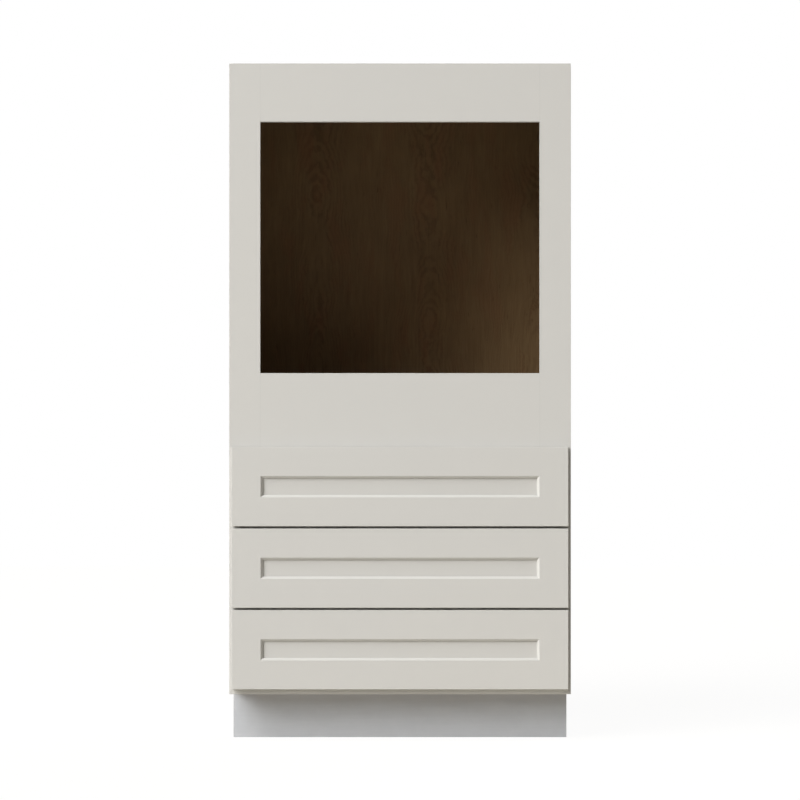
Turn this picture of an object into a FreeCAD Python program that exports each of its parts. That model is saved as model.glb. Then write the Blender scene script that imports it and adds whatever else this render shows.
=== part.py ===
import FreeCAD, Part
import os
import Sketcher

# Framed kitchen cabinet for a single built-in oven, with three drawers below it.
# Lengths are in millimetres. +Z is up and the front faces -Y.
# The origin is on the floor, in the middle of the whole cabinet's width and depth.

sizes = {
    # Case and face frame
    "cabinet_width": 838.2,
    "cabinet_depth": 609.6,
    "frame_thickness": 19.05,
    "stile_width": 76.2,
    "top_rail_height": 143.2,
    "oven_opening_height": 616.8,
    "middle_rail_height": 205.9,
    "drawer_rail_height": 38.1,
    "bottom_rail_height": 38.1,
    "frame_ease": 0.5,
    "seam_ease": 0.1,
    "tenon_length": 22.0,
    "tenon_thickness": 9.5,
    "tenon_shoulder": 6.0,
    "side_thickness": 12.7,
    "side_inset": 6.35,
    "panel_groove": 6.35,
    "top_thickness": 12.7,
    "bottom_thickness": 12.7,
    "shelf_thickness": 19.05,
    "back_thickness": 6.35,
    "hanging_rail_thickness": 19.05,
    "hanging_rail_height": 76.2,
    "cleat_thickness": 19.05,
    "cleat_height": 38.1,
    # Toe space
    "toe_height": 114.3,
    "toe_setback": 76.2,
    "toe_skin_thickness": 6.35,
    "toe_board_thickness": 12.7,
    # Drawer fronts
    "front_reveal": 7.1,
    "front_height": 193.8,
    "front_gap": 5.7,
    "front_lift": 13.8,
    "front_overlap": 25.0,
    "front_thickness": 19.05,
    "front_ease": 0.6,
    "front_member_width": 76.2,
    "bevel_width": 5.4,
    "bevel_depth": 4.5,
    "bevel_step": 3.0,
    "front_groove": 9.5,
    "front_panel_thickness": 6.35,
    "bumper_radius": 4.0,
    "bumper_thickness": 1.5,
    "bumper_gap": 0.1,
    "bumper_margin": 14.0,
    # Drawer boxes
    "box_clearance": 5.0,
    "box_top_clearance": 8.65,
    "box_rear_clearance": 52.4,
    "box_thickness": 15.9,
    "box_ease": 1.5,
    "box_groove": 6.35,
    "box_bottom_thickness": 6.35,
    "box_bottom_recess": 12.7,
    "pin_width": 7.0,
    "pin_flare": 2.0,
    "notch_clearance": 1.6,
    # Undermount runners
    "runner_sheet": 1.2,
    "runner_gap": 0.3,
    "runner_recess": 3.0,
    "runner_setback": 1.0,
    "runner_tail": 4.6,
    "runner_web": 48.0,
    "runner_flange": 30.0,
    "runner_lip": 6.0,
    "rail_offset": 28.6,
    "rail_width": 10.8,
    "rail_height": 21.7,
    "middle_wall": 19.2,
    "drawer_wall": 16.7,
    "bracket_sheet": 2.0,
    "bracket_wall": 3.0,
    "bracket_grip": 30.0,
    "bracket_plate_width": 63.0,
    "bracket_height": 50.0,
    # Drawer locks and their release levers
    "lock_gap": 1.1,
    "lock_width": 30.0,
    "lock_length": 55.0,
    "lock_height": 16.4,
    "lock_round": 3.0,
    "lever_gap": 0.3,
    "lever_thickness": 3.2,
    "lever_width": 18.0,
    "lever_round": 4.0,
    "lever_heel": 6.0,
    "lever_reach": 51.0,
    "lever_tab_length": 8.0,
    "lever_tab_height": 2.5,
    "pivot_inset": 16.5,
    "pivot_setback": 45.2,
    "pivot_radius": 2.0,
    "pivot_clearance": 0.1,
    "pivot_head_radius": 3.5,
    "pivot_head_height": 1.2,
    # Screws
    "screw_radius": 1.75,
    "screw_head_radius": 3.6,
    "screw_head_height": 1.8,
    "runner_screw_length": 16.0,
    "runner_screw_low": 12.0,
    "runner_screw_pitch": 13.0,
    "bracket_screw_length": 7.0,
    "bracket_screw_margin": 8.0,
    "cleat_screw_length": 25.0,
    "front_screw_length": 28.0,
    "front_screw_inset": 140.0,
    "front_screw_drop": 12.0,
    # How far a cutting shape runs past what it cuts
    "overrun": 2.0,
}

drawerNames = ("lower", "middle", "upper")
tailCount = 5
cleatScrewShares = (0.12, 0.5, 0.88)

doc = FreeCAD.newDocument("KitchenCabinet")
sheet = doc.addObject("Spreadsheet::Sheet", "Sizes")
for row, (alias, amount) in enumerate(sizes.items(), 1):
    sheet.set(f"A{row}", alias)
    sheet.set(f"B{row}", str(amount))
    sheet.setAlias(f"B{row}", alias)
doc.recompute()


class Size:
    # A length as the spreadsheet expression that gives it, with its present value.
    def __init__(self, text, value):
        self.text = text
        self.value = value

    def __add__(self, other):
        return Size(f"({self.text} + {other.text})", self.value + other.value)

    def __sub__(self, other):
        return Size(f"({self.text} - {other.text})", self.value - other.value)

    def __neg__(self):
        return Size(f"(-{self.text})", -self.value)

    def __mul__(self, factor):
        return Size(f"({self.text} * {factor})", self.value * factor)

    def __truediv__(self, factor):
        return Size(f"({self.text} / {factor})", self.value / factor)


def least(*options):
    texts = "; ".join(option.text for option in options)
    return Size(f"min({texts})", min(option.value for option in options))


size = {alias: Size(f"Sizes.{alias}", sheet.get(alias)) for alias in sizes}
zero = Size("0", 0)
overrun = size["overrun"]
nodes = []


def node(shape, label):
    # Marks an object of the document as a finished sub-part.
    shape.Label = label
    nodes.append(shape)
    return shape


def place(shape, corner):
    for axis, length in zip("xyz", corner):
        shape.setExpression(f"Placement.Base.{axis}", length.text)


def board(name, low, high):
    # A rectangular board between two opposite corners.
    box = doc.addObject("Part::Box", name)
    for edge, start, end in zip(("Length", "Width", "Height"), low, high):
        box.setExpression(edge, (end - start).text)
    place(box, low)
    return box


def rod(name, radius, length, start, direction):
    # A round rod from its start point along a direction.
    cylinder = doc.addObject("Part::Cylinder", name)
    cylinder.setExpression("Radius", radius.text)
    cylinder.setExpression("Height", length.text)
    turn = FreeCAD.Rotation(FreeCAD.Vector(0, 0, 1), FreeCAD.Vector(*direction))
    cylinder.Placement = FreeCAD.Placement(FreeCAD.Vector(), turn)
    place(cylinder, start)
    return cylinder


def together(name, members):
    # Separate solids kept as one object.
    compound = doc.addObject("Part::Compound", name)
    compound.Links = members
    return compound


def fused(name, members):
    solid = doc.addObject("Part::MultiFuse", name)
    solid.Shapes = members
    return solid


def cut(name, base, tools):
    result = doc.addObject("Part::Cut", name)
    result.Base = base
    result.Tool = tools[0] if len(tools) == 1 else together(name + "_tools", tools)
    return result


def mirrored(name, source, normal=(1, 0, 0), level=zero):
    # The mirror image of an object, across the cabinet's middle plane or a level plane.
    image = doc.addObject("Part::Mirroring", name)
    image.Source = source
    image.Normal = FreeCAD.Vector(*normal)
    image.setExpression("Base.z", level.text)
    return image


def pair(name, left):
    return together(name, [left, mirrored(name + "_right", left)])


def eased(name, base, width, picked, kind="Part::Chamfer"):
    # Takes the sharp corner off the edges that picked() accepts.
    doc.recompute()
    bounds = base.Shape.BoundBox
    edges = []
    for index, edge in enumerate(base.Shape.Edges, 1):
        if picked(edge.BoundBox, bounds, width.value / 100):
            edges.append((index, width.value, width.value))
    softened = doc.addObject(kind, name)
    softened.Base = base
    softened.Edges = edges
    return softened


def inFront(edge, bounds, nearly):
    return edge.YMax - bounds.YMin < nearly


def frontAcross(edge, bounds, nearly):
    return inFront(edge, bounds, nearly) and edge.ZLength < edge.XLength


def frontOuter(edge, bounds, nearly):
    atSide = edge.XMax - bounds.XMin < nearly
    return frontAcross(edge, bounds, nearly) or (inFront(edge, bounds, nearly) and atSide)


def frontInner(edge, bounds, nearly):
    return inFront(edge, bounds, nearly) and bounds.XMax - edge.XMin < nearly


def frontLowest(edge, bounds, nearly):
    return frontAcross(edge, bounds, nearly) and edge.ZMax - bounds.ZMin < nearly


def topAlong(edge, bounds, nearly):
    longest = max(bounds.XLength, bounds.YLength)
    atTop = bounds.ZMax - edge.ZMin < nearly
    return atTop and longest - max(edge.XLength, edge.YLength) < nearly


def upright(edge, bounds, nearly):
    return bounds.ZLength - edge.ZLength < nearly


def extrusion(name, role, points, length, corner, backwards=False):
    # A sketched outline on one of the body's own planes, padded to a length.
    body = doc.addObject("PartDesign::Body", name)
    sketch = body.newObject("Sketcher::SketchObject", name + "_outline")
    plane = next(item for item in body.Origin.OriginFeatures if item.Role == role)
    sketch.AttachmentSupport = (plane, [""])
    sketch.MapMode = "FlatFace"
    corners = [FreeCAD.Vector(across.value, up.value, 0) for across, up in points]
    for index, start in enumerate(corners):
        end = corners[(index + 1) % len(corners)]
        sketch.addGeometry(Part.LineSegment(start, end), False)
    for index in range(len(points)):
        follower = (index + 1) % len(points)
        sketch.addConstraint(Sketcher.Constraint("Coincident", index, 2, follower, 1))
    for index, point in enumerate(points):
        for kind, axis, distance in zip(("DistanceX", "DistanceY"), (-2, -1), point):
            if distance is zero:
                sketch.addConstraint(Sketcher.Constraint("PointOnObject", index, 1, axis))
                continue
            rule = Sketcher.Constraint(kind, -1, 1, index, 1, distance.value)
            number = sketch.addConstraint(rule)
            sketch.setExpression(f"Constraints[{number}]", distance.text)
    pad = body.newObject("PartDesign::Pad", name + "_pad")
    pad.Profile = sketch
    pad.Reversed = backwards
    pad.setExpression("Length", length.text)
    place(body, corner)
    return body


def screw(name, length, headPoint, direction):
    # A pan-head screw whose head sits on headPoint and whose shank runs along direction.
    shank = rod(name + "_shank", size["screw_radius"], length, headPoint, direction)
    outwards = tuple(-step for step in direction)
    head = rod(name + "_head", size["screw_head_radius"], size["screw_head_height"], headPoint, outwards)
    return fused(name, [shank, head])


# Planes of the cabinet from front to back
standoff = size["bumper_thickness"] + size["bumper_gap"]
rearPlane = (size["cabinet_depth"] + standoff + size["front_thickness"]) / 2
framePlane = rearPlane - size["cabinet_depth"]
casePlane = framePlane + size["frame_thickness"]
boxPlane = framePlane - standoff
frontPlane = boxPlane - size["front_thickness"]
backRear = rearPlane - size["hanging_rail_thickness"]
backFront = backRear - size["back_thickness"]
toeFront = framePlane + size["toe_setback"]
toeRear = toeFront + size["toe_skin_thickness"]

# Planes of the cabinet from the middle to the side
halfWidth = size["cabinet_width"] / 2
openingHalf = halfWidth - size["stile_width"]
frontHalf = halfWidth - size["front_reveal"]
sideOuter = halfWidth - size["side_inset"]
sideInner = sideOuter - size["side_thickness"]
grooveHalf = sideInner + size["panel_groove"]

# Levels from the floor up
frontPitch = size["front_height"] + size["front_gap"]
frontLevels = [size["toe_height"] + size["front_lift"] + frontPitch * step for step in range(3)]
frontsTop = frontLevels[2] + size["front_height"]
railHalf = size["drawer_rail_height"] / 2
gapHalf = size["front_gap"] / 2
bottomRailTop = size["toe_height"] + size["bottom_rail_height"]
railLevels = [level - gapHalf - railHalf for level in frontLevels[1:]]
middleRailBottom = frontsTop - size["front_overlap"]
ovenFloor = middleRailBottom + size["middle_rail_height"]
ovenTop = ovenFloor + size["oven_opening_height"]
totalHeight = ovenTop + size["top_rail_height"]
openingFloors = [bottomRailTop] + [level + size["drawer_rail_height"] for level in railLevels]
openingTops = railLevels + [middleRailBottom]

# Drawer box, the same for each opening and sized to the lowest one
runnerBase = size["bracket_sheet"]
railTop = runnerBase + size["rail_height"]
middleTop = railTop + size["runner_gap"] + size["runner_sheet"]
drawerTop = middleTop + size["runner_gap"] + size["runner_sheet"]
boxLift = drawerTop - size["box_bottom_recess"]
openingHeights = [top - floor for top, floor in zip(openingTops, openingFloors)]
boxHeight = least(*openingHeights) - boxLift - size["box_top_clearance"]
boxHalf = openingHalf - size["box_clearance"]
boxInnerHalf = boxHalf - size["box_thickness"]
boxRear = backFront - size["box_rear_clearance"]
boxFrontInner = boxPlane + size["box_thickness"]
boxBackInner = boxRear - size["box_thickness"]
runnerFront = framePlane + size["runner_recess"]
runnerRear = boxRear + size["runner_tail"]
railFront = boxFrontInner + size["runner_setback"]


def frameRail(label, low, high):
    # A rail of the face frame with a tenon at each end.
    body = board(label + "_body", (-openingHalf, framePlane, low), (openingHalf, casePlane, high))
    easedBody = eased(label + "_eased", body, size["frame_ease"], frontAcross)
    reach = openingHalf + size["tenon_length"]
    shoulder = size["tenon_shoulder"]
    cheek = (size["frame_thickness"] - size["tenon_thickness"]) / 2
    tenons = board(
        label + "_tenons",
        (-reach, framePlane + cheek, low + shoulder),
        (reach, casePlane - cheek, high - shoulder),
    )
    return node(fused(label, [easedBody, tenons]), label)


def runnerScrews():
    # Two screws hold each runner's flange to the inner edge of the left stile.
    screws = []
    for drawer, floor in zip(drawerNames, openingFloors):
        for step in range(2):
            level = floor + size["runner_screw_low"] + size["runner_screw_pitch"] * step
            depth = framePlane + size["frame_thickness"] / 2
            head = (-openingHalf + size["runner_sheet"], depth, level)
            name = f"runner_screw_{drawer}_{step}"
            screws.append(screw(name, size["runner_screw_length"], head, (-1, 0, 0)))
    return screws


def bracketScrews():
    # Two screws hold each rear bracket to the back panel.
    screws = []
    for drawer, floor in zip(drawerNames, openingFloors):
        plateEnd = size["bracket_plate_width"] - size["bracket_wall"]
        across = -openingHalf + plateEnd - size["bracket_screw_margin"]
        levels = (size["bracket_screw_margin"], size["bracket_height"] - size["bracket_screw_margin"])
        for step, level in enumerate(levels):
            head = (across, backFront - size["bracket_sheet"], floor + level)
            name = f"bracket_screw_{drawer}_{step}"
            screws.append(screw(name, size["bracket_screw_length"], head, (0, 1, 0)))
    return screws


def cleatScrews():
    # Three screws hold the left cleat to the left side panel.
    screws = []
    level = ovenFloor - size["shelf_thickness"] - size["cleat_height"] / 2
    for step, share in enumerate(cleatScrewShares):
        depth = casePlane + (backFront - casePlane) * share
        head = (-sideInner + size["cleat_thickness"], depth, level)
        screws.append(screw(f"cleat_screw_{step}", size["cleat_screw_length"], head, (-1, 0, 0)))
    return screws


stileScrews = runnerScrews()
backScrews = bracketScrews()
sideScrews = cleatScrews()

# Face frame
bottomRail = frameRail("bottom_rail", size["toe_height"], bottomRailTop)
lowerDrawerRail = frameRail("lower_drawer_rail", railLevels[0], openingFloors[1])
upperDrawerRail = frameRail("upper_drawer_rail", railLevels[1], openingFloors[2])
middleRail = frameRail("middle_rail", middleRailBottom, ovenFloor)
topRail = frameRail("top_rail", ovenTop, totalHeight)
rails = [bottomRail, lowerDrawerRail, upperDrawerRail, middleRail, topRail]

stileBlank = board(
    "left_stile_blank",
    (-halfWidth, framePlane, size["toe_height"]),
    (-openingHalf, casePlane, totalHeight),
)
stileSeamed = eased("left_stile_seamed", stileBlank, size["seam_ease"], frontInner)
stileEased = eased("left_stile_eased", stileSeamed, size["frame_ease"], frontOuter)
stileMortised = cut("left_stile_mortised", stileEased, rails)
leftStile = node(cut("left_stile", stileMortised, stileScrews), "left_stile")
node(mirrored("right_stile", leftStile), "right_stile")

# Case panels
shelfBottom = ovenFloor - size["shelf_thickness"]
bottomUnder = bottomRailTop - size["bottom_thickness"]
topUnder = totalHeight - size["top_thickness"]

topPanel = node(
    board("top_panel", (-grooveHalf, casePlane, topUnder), (grooveHalf, rearPlane, totalHeight)),
    "top_panel",
)
bottomPanel = node(
    board("bottom_panel", (-grooveHalf, casePlane, bottomUnder), (grooveHalf, backFront, bottomRailTop)),
    "bottom_panel",
)
backBoard = board("back_board", (-grooveHalf, backFront, bottomUnder), (grooveHalf, backRear, topUnder))
backScrewsRight = mirrored("bracket_screws_right", together("bracket_screws_left", backScrews))
node(cut("back_panel", backBoard, backScrews + [backScrewsRight]), "back_panel")
node(
    board("oven_shelf", (-sideInner, casePlane, shelfBottom), (sideInner, backFront, ovenFloor)),
    "oven_shelf",
)

sideBlank = board("left_side_blank", (-sideOuter, casePlane, zero), (-sideInner, rearPlane, totalHeight))
toeNotch = board(
    "toe_notch",
    (-sideOuter - overrun, casePlane - overrun, -overrun),
    (-sideInner + overrun, toeRear, size["toe_height"]),
)
sideNotched = cut("left_side_notched", sideBlank, [toeNotch])
sideGrooved = cut("left_side_grooved", sideNotched, [topPanel, bottomPanel])
sideRebated = cut("left_side_rebated", sideGrooved, [backBoard])
leftSide = node(cut("left_side_panel", sideRebated, sideScrews), "left_side_panel")
node(mirrored("right_side_panel", leftSide), "right_side_panel")

cleatBlank = board(
    "left_cleat_blank",
    (-sideInner, casePlane, shelfBottom - size["cleat_height"]),
    (-sideInner + size["cleat_thickness"], backFront, shelfBottom),
)
node(pair("shelf_cleats", cut("left_cleat", cleatBlank, sideScrews)), "shelf_cleats")

# Hanging rails behind the back panel: at the bottom, behind the shelf and at the top
hangingLevels = (
    bottomUnder,
    shelfBottom - size["hanging_rail_height"] / 2,
    topUnder - size["hanging_rail_height"],
)
hangingRails = []
for step, level in enumerate(hangingLevels):
    low = (-sideInner, backRear, level)
    high = (sideInner, rearPlane, level + size["hanging_rail_height"])
    hangingRails.append(board(f"hanging_rail_{step}", low, high))
node(together("hanging_rails", hangingRails), "hanging_rails")

# Toe kick
node(
    board(
        "toe_kick_board",
        (-sideInner, toeRear, zero),
        (sideInner, toeRear + size["toe_board_thickness"], bottomUnder),
    ),
    "toe_kick_board",
)
node(
    board("toe_kick_skin", (-sideOuter, toeFront, zero), (sideOuter, toeRear, size["toe_height"])),
    "toe_kick_skin",
)


def steppedOutline():
    # Section of a drawer front's stile or rail: bevelled inner edge over the panel groove.
    width = size["front_member_width"]
    recess = size["bevel_depth"] + size["bevel_step"]
    panelRear = recess + size["front_panel_thickness"]
    grooveFloor = width - size["front_groove"]
    return [
        (zero, zero),
        (width - size["bevel_width"], zero),
        (width, size["bevel_depth"]),
        (width, recess),
        (grooveFloor, recess),
        (grooveFloor, panelRear),
        (width, panelRear),
        (width, size["front_thickness"]),
        (zero, size["front_thickness"]),
    ]


def hatOutline(inner, top, wall, floor):
    # Section of an inverted channel that runs over a rail with the running gap.
    sheetSize = size["runner_sheet"]
    left = size["rail_offset"] - inner
    right = size["rail_offset"] + size["rail_width"] + inner
    roof = top - sheetSize
    base = top - wall
    return [
        (left - sheetSize, base - floor),
        (left, base - floor),
        (left, roof - floor),
        (right, roof - floor),
        (right, base - floor),
        (right + sheetSize, base - floor),
        (right + sheetSize, top - floor),
        (left - sheetSize, top - floor),
    ]


def runnerOutline():
    # Section of the cabinet runner: flange, web, raised rail and a low lip, all of one sheet.
    sheetSize = size["runner_sheet"]
    low = runnerBase
    web = low + sheetSize
    left = size["rail_offset"]
    right = left + size["rail_width"]
    end = size["runner_web"]
    return [
        (zero, low),
        (left + sheetSize, low),
        (left + sheetSize, railTop - sheetSize),
        (right - sheetSize, railTop - sheetSize),
        (right - sheetSize, low),
        (end, low),
        (end, low + size["runner_lip"]),
        (end - sheetSize, low + size["runner_lip"]),
        (end - sheetSize, web),
        (right, web),
        (right, railTop),
        (left, railTop),
        (left, web),
        (sheetSize, web),
        (sheetSize, low + size["runner_flange"]),
        (zero, low + size["runner_flange"]),
    ]


def cabinetRunner(drawer, floor, screws):
    # The raised rail starts behind the drawer box's front, the web and flange in front of it.
    corner = (-openingHalf, runnerFront, floor)
    name = f"{drawer}_cabinet_runner"
    blank = extrusion(name + "_blank", "XZ_Plane", runnerOutline(), runnerRear - runnerFront, corner, True)
    left = -openingHalf + size["rail_offset"]
    relief = board(
        name + "_relief",
        (left - overrun, runnerFront - overrun, floor + runnerBase + size["runner_sheet"]),
        (left + size["rail_width"] + overrun, railFront, floor + railTop + overrun),
    )
    return cut(name, cut(name + "_relieved", blank, [relief]), screws)


def rearBracket(drawer, floor, screws):
    # Carries the runner's rear end and is screwed to the back panel.
    name = f"{drawer}_rear_bracket"
    left = -openingHalf - size["bracket_wall"]
    start = runnerRear - size["bracket_grip"]
    right = -openingHalf + size["runner_web"]
    sheetSize = size["bracket_sheet"]
    trough = board(name + "_trough", (left, start, floor), (right, backFront, floor + sheetSize))
    wall = board(
        name + "_wall",
        (left, start, floor),
        (-openingHalf, backFront, floor + size["bracket_height"]),
    )
    plate = board(
        name + "_plate",
        (left, backFront - sheetSize, floor),
        (left + size["bracket_plate_width"], backFront, floor + size["bracket_height"]),
    )
    return cut(name, fused(name + "_blank", [trough, wall, plate]), screws)


runners = []
brackets = []
for index, (drawer, floor) in enumerate(zip(drawerNames, openingFloors)):
    near = slice(2 * index, 2 * index + 2)
    runners.append(cabinetRunner(drawer, floor, stileScrews[near]))
    brackets.append(rearBracket(drawer, floor, backScrews[near]))
runners += [mirrored(runner.Name + "_right", runner) for runner in runners]
brackets += [mirrored(bracket.Name + "_right", bracket) for bracket in brackets]
node(together("cabinet_runners", runners), "cabinet_runners")
node(together("rear_brackets", brackets), "rear_brackets")

leftScrews = together("left_screws", stileScrews + backScrews + sideScrews)
node(pair("cabinet_screws", leftScrews), "cabinet_screws")

# Bumpers on the face frame behind the corners of each drawer front
bumpers = []
for drawer, level in zip(drawerNames, frontLevels):
    across = -frontHalf + size["bumper_margin"]
    heights = (size["bumper_margin"], size["front_height"] - size["bumper_margin"])
    for step, height in enumerate(heights):
        start = (across, framePlane, level + height)
        name = f"{drawer}_bumper_{step}"
        bumpers.append(rod(name, size["bumper_radius"], size["bumper_thickness"], start, (0, -1, 0)))
node(pair("frame_bumpers", together("left_bumpers", bumpers)), "frame_bumpers")


def frontScrews(drawer, boxLow):
    # Four screws through the drawer box's front into the rails of the drawer front.
    levels = (
        boxLow + size["box_bottom_recess"] / 2,
        boxLow + boxHeight - size["front_screw_drop"],
    )
    across = -(boxHalf - size["front_screw_inset"])
    screws = []
    for step, level in enumerate(levels):
        head = (across, boxFrontInner, level)
        name = f"{drawer}_front_screw_{step}"
        screws.append(screw(name, size["front_screw_length"], head, (0, -1, 0)))
    leftPair = together(f"{drawer}_left_screws", screws)
    return node(pair(f"{drawer}_front_screws", leftPair), f"{drawer}_front_screws")


def drawerFront(drawer, level, screws):
    # Two stiles run the full height, two rails are coped to them and hold a flat panel.
    outline = steppedOutline()
    width = size["front_member_width"]
    middle = level + size["front_height"] / 2
    stile = extrusion(
        f"{drawer}_front_stile_blank",
        "XY_Plane",
        outline,
        size["front_height"],
        (-frontHalf, frontPlane, level),
    )
    easedStile = eased(f"{drawer}_front_stile_left", stile, size["front_ease"], frontOuter)
    stiles = node(pair(f"{drawer}_front_stiles", easedStile), f"{drawer}_front_stiles")

    reach = frontHalf - width + size["front_groove"]
    swapped = [(depth, across) for across, depth in outline]
    rail = extrusion(
        f"{drawer}_front_rail_blank",
        "YZ_Plane",
        swapped,
        reach * 2,
        (-reach, frontPlane, level),
    )
    easedRail = eased(f"{drawer}_front_rail_low", rail, size["front_ease"], frontLowest)
    upperRail = mirrored(f"{drawer}_front_rail_high", easedRail, (0, 0, 1), middle)
    blanks = together(f"{drawer}_front_rail_pair", [easedRail, upperRail])
    coped = cut(f"{drawer}_front_rails_coped", blanks, [stiles])
    node(cut(f"{drawer}_front_rails", coped, [screws]), f"{drawer}_front_rails")

    recess = frontPlane + size["bevel_depth"] + size["bevel_step"]
    inset = width - size["front_groove"]
    low = (-reach, recess, level + inset)
    high = (reach, recess + size["front_panel_thickness"], level + size["front_height"] - inset)
    node(board(f"{drawer}_front_panel", low, high), f"{drawer}_front_panel")


def tailSockets(drawer, boxLow):
    # Sockets that leave the dovetails in both ends of the sides, wider at the baseline.
    sockets = []
    narrow = size["pin_width"] / 2
    wide = narrow + size["pin_flare"]
    reach = boxHalf + overrun
    ends = (("front", boxPlane, boxFrontInner, narrow, wide), ("back", boxBackInner, boxRear, wide, narrow))
    for end, start, finish, startHalf, finishHalf in ends:
        for step in range(tailCount + 1):
            centre = boxLow + boxHeight * step / tailCount
            socket = doc.addObject("Part::Wedge", f"{drawer}_{end}_socket_{step}")
            limits = {
                "Xmin": -reach,
                "Xmax": reach,
                "X2min": -reach,
                "X2max": reach,
                "Ymin": start,
                "Ymax": finish,
                "Zmin": centre - startHalf,
                "Zmax": centre + startHalf,
                "Z2min": centre - finishHalf,
                "Z2max": centre + finishHalf,
            }
            for limit, length in limits.items():
                socket.setExpression(limit, length.text)
            sockets.append(socket)
    return sockets


def drawerBox(drawer, boxLow, screws):
    # Dovetailed box with its bottom in a groove and its back notched over the runners.
    boxHigh = boxLow + boxHeight
    sideBoard = board(
        f"{drawer}_box_side_board",
        (-boxHalf, boxPlane, boxLow),
        (-boxInnerHalf, boxRear, boxHigh),
    )
    easedSide = eased(f"{drawer}_box_side_eased", sideBoard, size["box_ease"], topAlong)
    tailed = cut(
        f"{drawer}_box_sides_tailed",
        pair(f"{drawer}_box_side_boards", easedSide),
        tailSockets(drawer, boxLow),
    )
    bottomLow = boxLow + size["box_bottom_recess"]
    reach = boxInnerHalf + size["box_groove"]
    bottom = board(
        f"{drawer}_box_bottom",
        (-reach, boxFrontInner - size["box_groove"], bottomLow),
        (reach, boxBackInner + size["box_groove"], bottomLow + size["box_bottom_thickness"]),
    )
    node(bottom, f"{drawer}_box_bottom")
    node(cut(f"{drawer}_box_sides", tailed, [bottom]), f"{drawer}_box_sides")

    frontBoard = board(
        f"{drawer}_box_front_board",
        (-boxHalf, boxPlane, boxLow),
        (boxHalf, boxFrontInner, boxHigh),
    )
    easedFront = eased(f"{drawer}_box_front_eased", frontBoard, size["box_ease"], topAlong)
    frontPinned = cut(f"{drawer}_box_front_pinned", easedFront, [tailed])
    frontGrooved = cut(f"{drawer}_box_front_grooved", frontPinned, [bottom])
    node(cut(f"{drawer}_box_front", frontGrooved, [screws]), f"{drawer}_box_front")

    backBoard = board(
        f"{drawer}_box_back_board",
        (-boxHalf, boxBackInner, boxLow),
        (boxHalf, boxRear, boxHigh),
    )
    easedBack = eased(f"{drawer}_box_back_eased", backBoard, size["box_ease"], topAlong)
    backPinned = cut(f"{drawer}_box_back_pinned", easedBack, [tailed])
    backGrooved = cut(f"{drawer}_box_back_grooved", backPinned, [bottom])
    channelLeft = -openingHalf + size["rail_offset"]
    around = (size["runner_gap"] + size["runner_sheet"]) * 2 + size["notch_clearance"]
    notch = board(
        f"{drawer}_box_notch",
        (channelLeft - around, boxBackInner - overrun, boxLow - overrun),
        (channelLeft + size["rail_width"] + around, boxRear + overrun, bottomLow),
    )
    node(cut(f"{drawer}_box_back", backGrooved, [pair(f"{drawer}_box_notches", notch)]), f"{drawer}_box_back")


def movingRunners(drawer, floor):
    # Two inverted channels, one over the other, slide on the cabinet runner's raised rail.
    length = boxRear - railFront
    step = size["runner_gap"] + size["runner_sheet"]
    channels = (
        ("intermediate_runners", size["runner_gap"], middleTop, size["middle_wall"]),
        ("drawer_runners", size["runner_gap"] + step, drawerTop, size["drawer_wall"]),
    )
    for kind, inner, top, wall in channels:
        outline = hatOutline(inner, top, wall, zero)
        corner = (-openingHalf, railFront, floor)
        channel = extrusion(f"{drawer}_{kind}_left", "XZ_Plane", outline, length, corner, True)
        node(pair(f"{drawer}_{kind}", channel), f"{drawer}_{kind}")


def lockAndLever(drawer, floor):
    # A lock under each front corner of the box, with a lever that turns on its pivot.
    step = size["runner_gap"] + size["runner_sheet"]
    channelEdge = size["rail_offset"] + size["rail_width"] + step * 2
    left = -openingHalf + channelEdge + size["lock_gap"]
    under = floor + drawerTop - size["lock_height"]
    block = board(
        f"{drawer}_lock_block",
        (left, boxFrontInner, under),
        (left + size["lock_width"], boxFrontInner + size["lock_length"], floor + drawerTop),
    )
    roundBlock = eased(f"{drawer}_lock_rounded", block, size["lock_round"], upright, "Part::Fillet")
    across = left + size["pivot_inset"]
    depth = boxFrontInner + size["pivot_setback"]
    pinLength = size["lever_thickness"] + size["lever_gap"] * 2
    down = (0, 0, -1)
    pin = rod(f"{drawer}_lock_pin", size["pivot_radius"], pinLength, (across, depth, under), down)
    head = rod(
        f"{drawer}_lock_pin_head",
        size["pivot_head_radius"],
        size["pivot_head_height"],
        (across, depth, under - pinLength),
        down,
    )
    lock = fused(f"{drawer}_lock_left", [roundBlock, pin, head])
    node(pair(f"{drawer}_drawer_locks", lock), f"{drawer}_drawer_locks")

    leverTop = under - size["lever_gap"]
    leverUnder = leverTop - size["lever_thickness"]
    half = size["lever_width"] / 2
    tip = depth - size["lever_reach"]
    plate = board(
        f"{drawer}_lever_plate",
        (across - half, tip, leverUnder),
        (across + half, depth + size["lever_heel"], leverTop),
    )
    roundPlate = eased(f"{drawer}_lever_rounded", plate, size["lever_round"], upright, "Part::Fillet")
    tabHalf = half - size["lever_round"]
    tab = board(
        f"{drawer}_lever_tab",
        (across - tabHalf, tip, leverUnder - size["lever_tab_height"]),
        (across + tabHalf, tip + size["lever_tab_length"], leverUnder),
    )
    hole = rod(
        f"{drawer}_lever_hole",
        size["pivot_radius"] + size["pivot_clearance"],
        size["lever_thickness"] + overrun * 2,
        (across, depth, leverTop + overrun),
        down,
    )
    lever = cut(f"{drawer}_lever_left", fused(f"{drawer}_lever_blank", [roundPlate, tab]), [hole])
    node(lever, f"{drawer}_left_release_lever")
    node(mirrored(f"{drawer}_lever_right", lever), f"{drawer}_right_release_lever")


for drawer, level, floor in zip(drawerNames, frontLevels, openingFloors):
    boxLow = floor + boxLift
    screws = frontScrews(drawer, boxLow)
    drawerFront(drawer, level, screws)
    drawerBox(drawer, boxLow, screws)
    movingRunners(drawer, floor)
    lockAndLever(drawer, floor)

doc.recompute()

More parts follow.
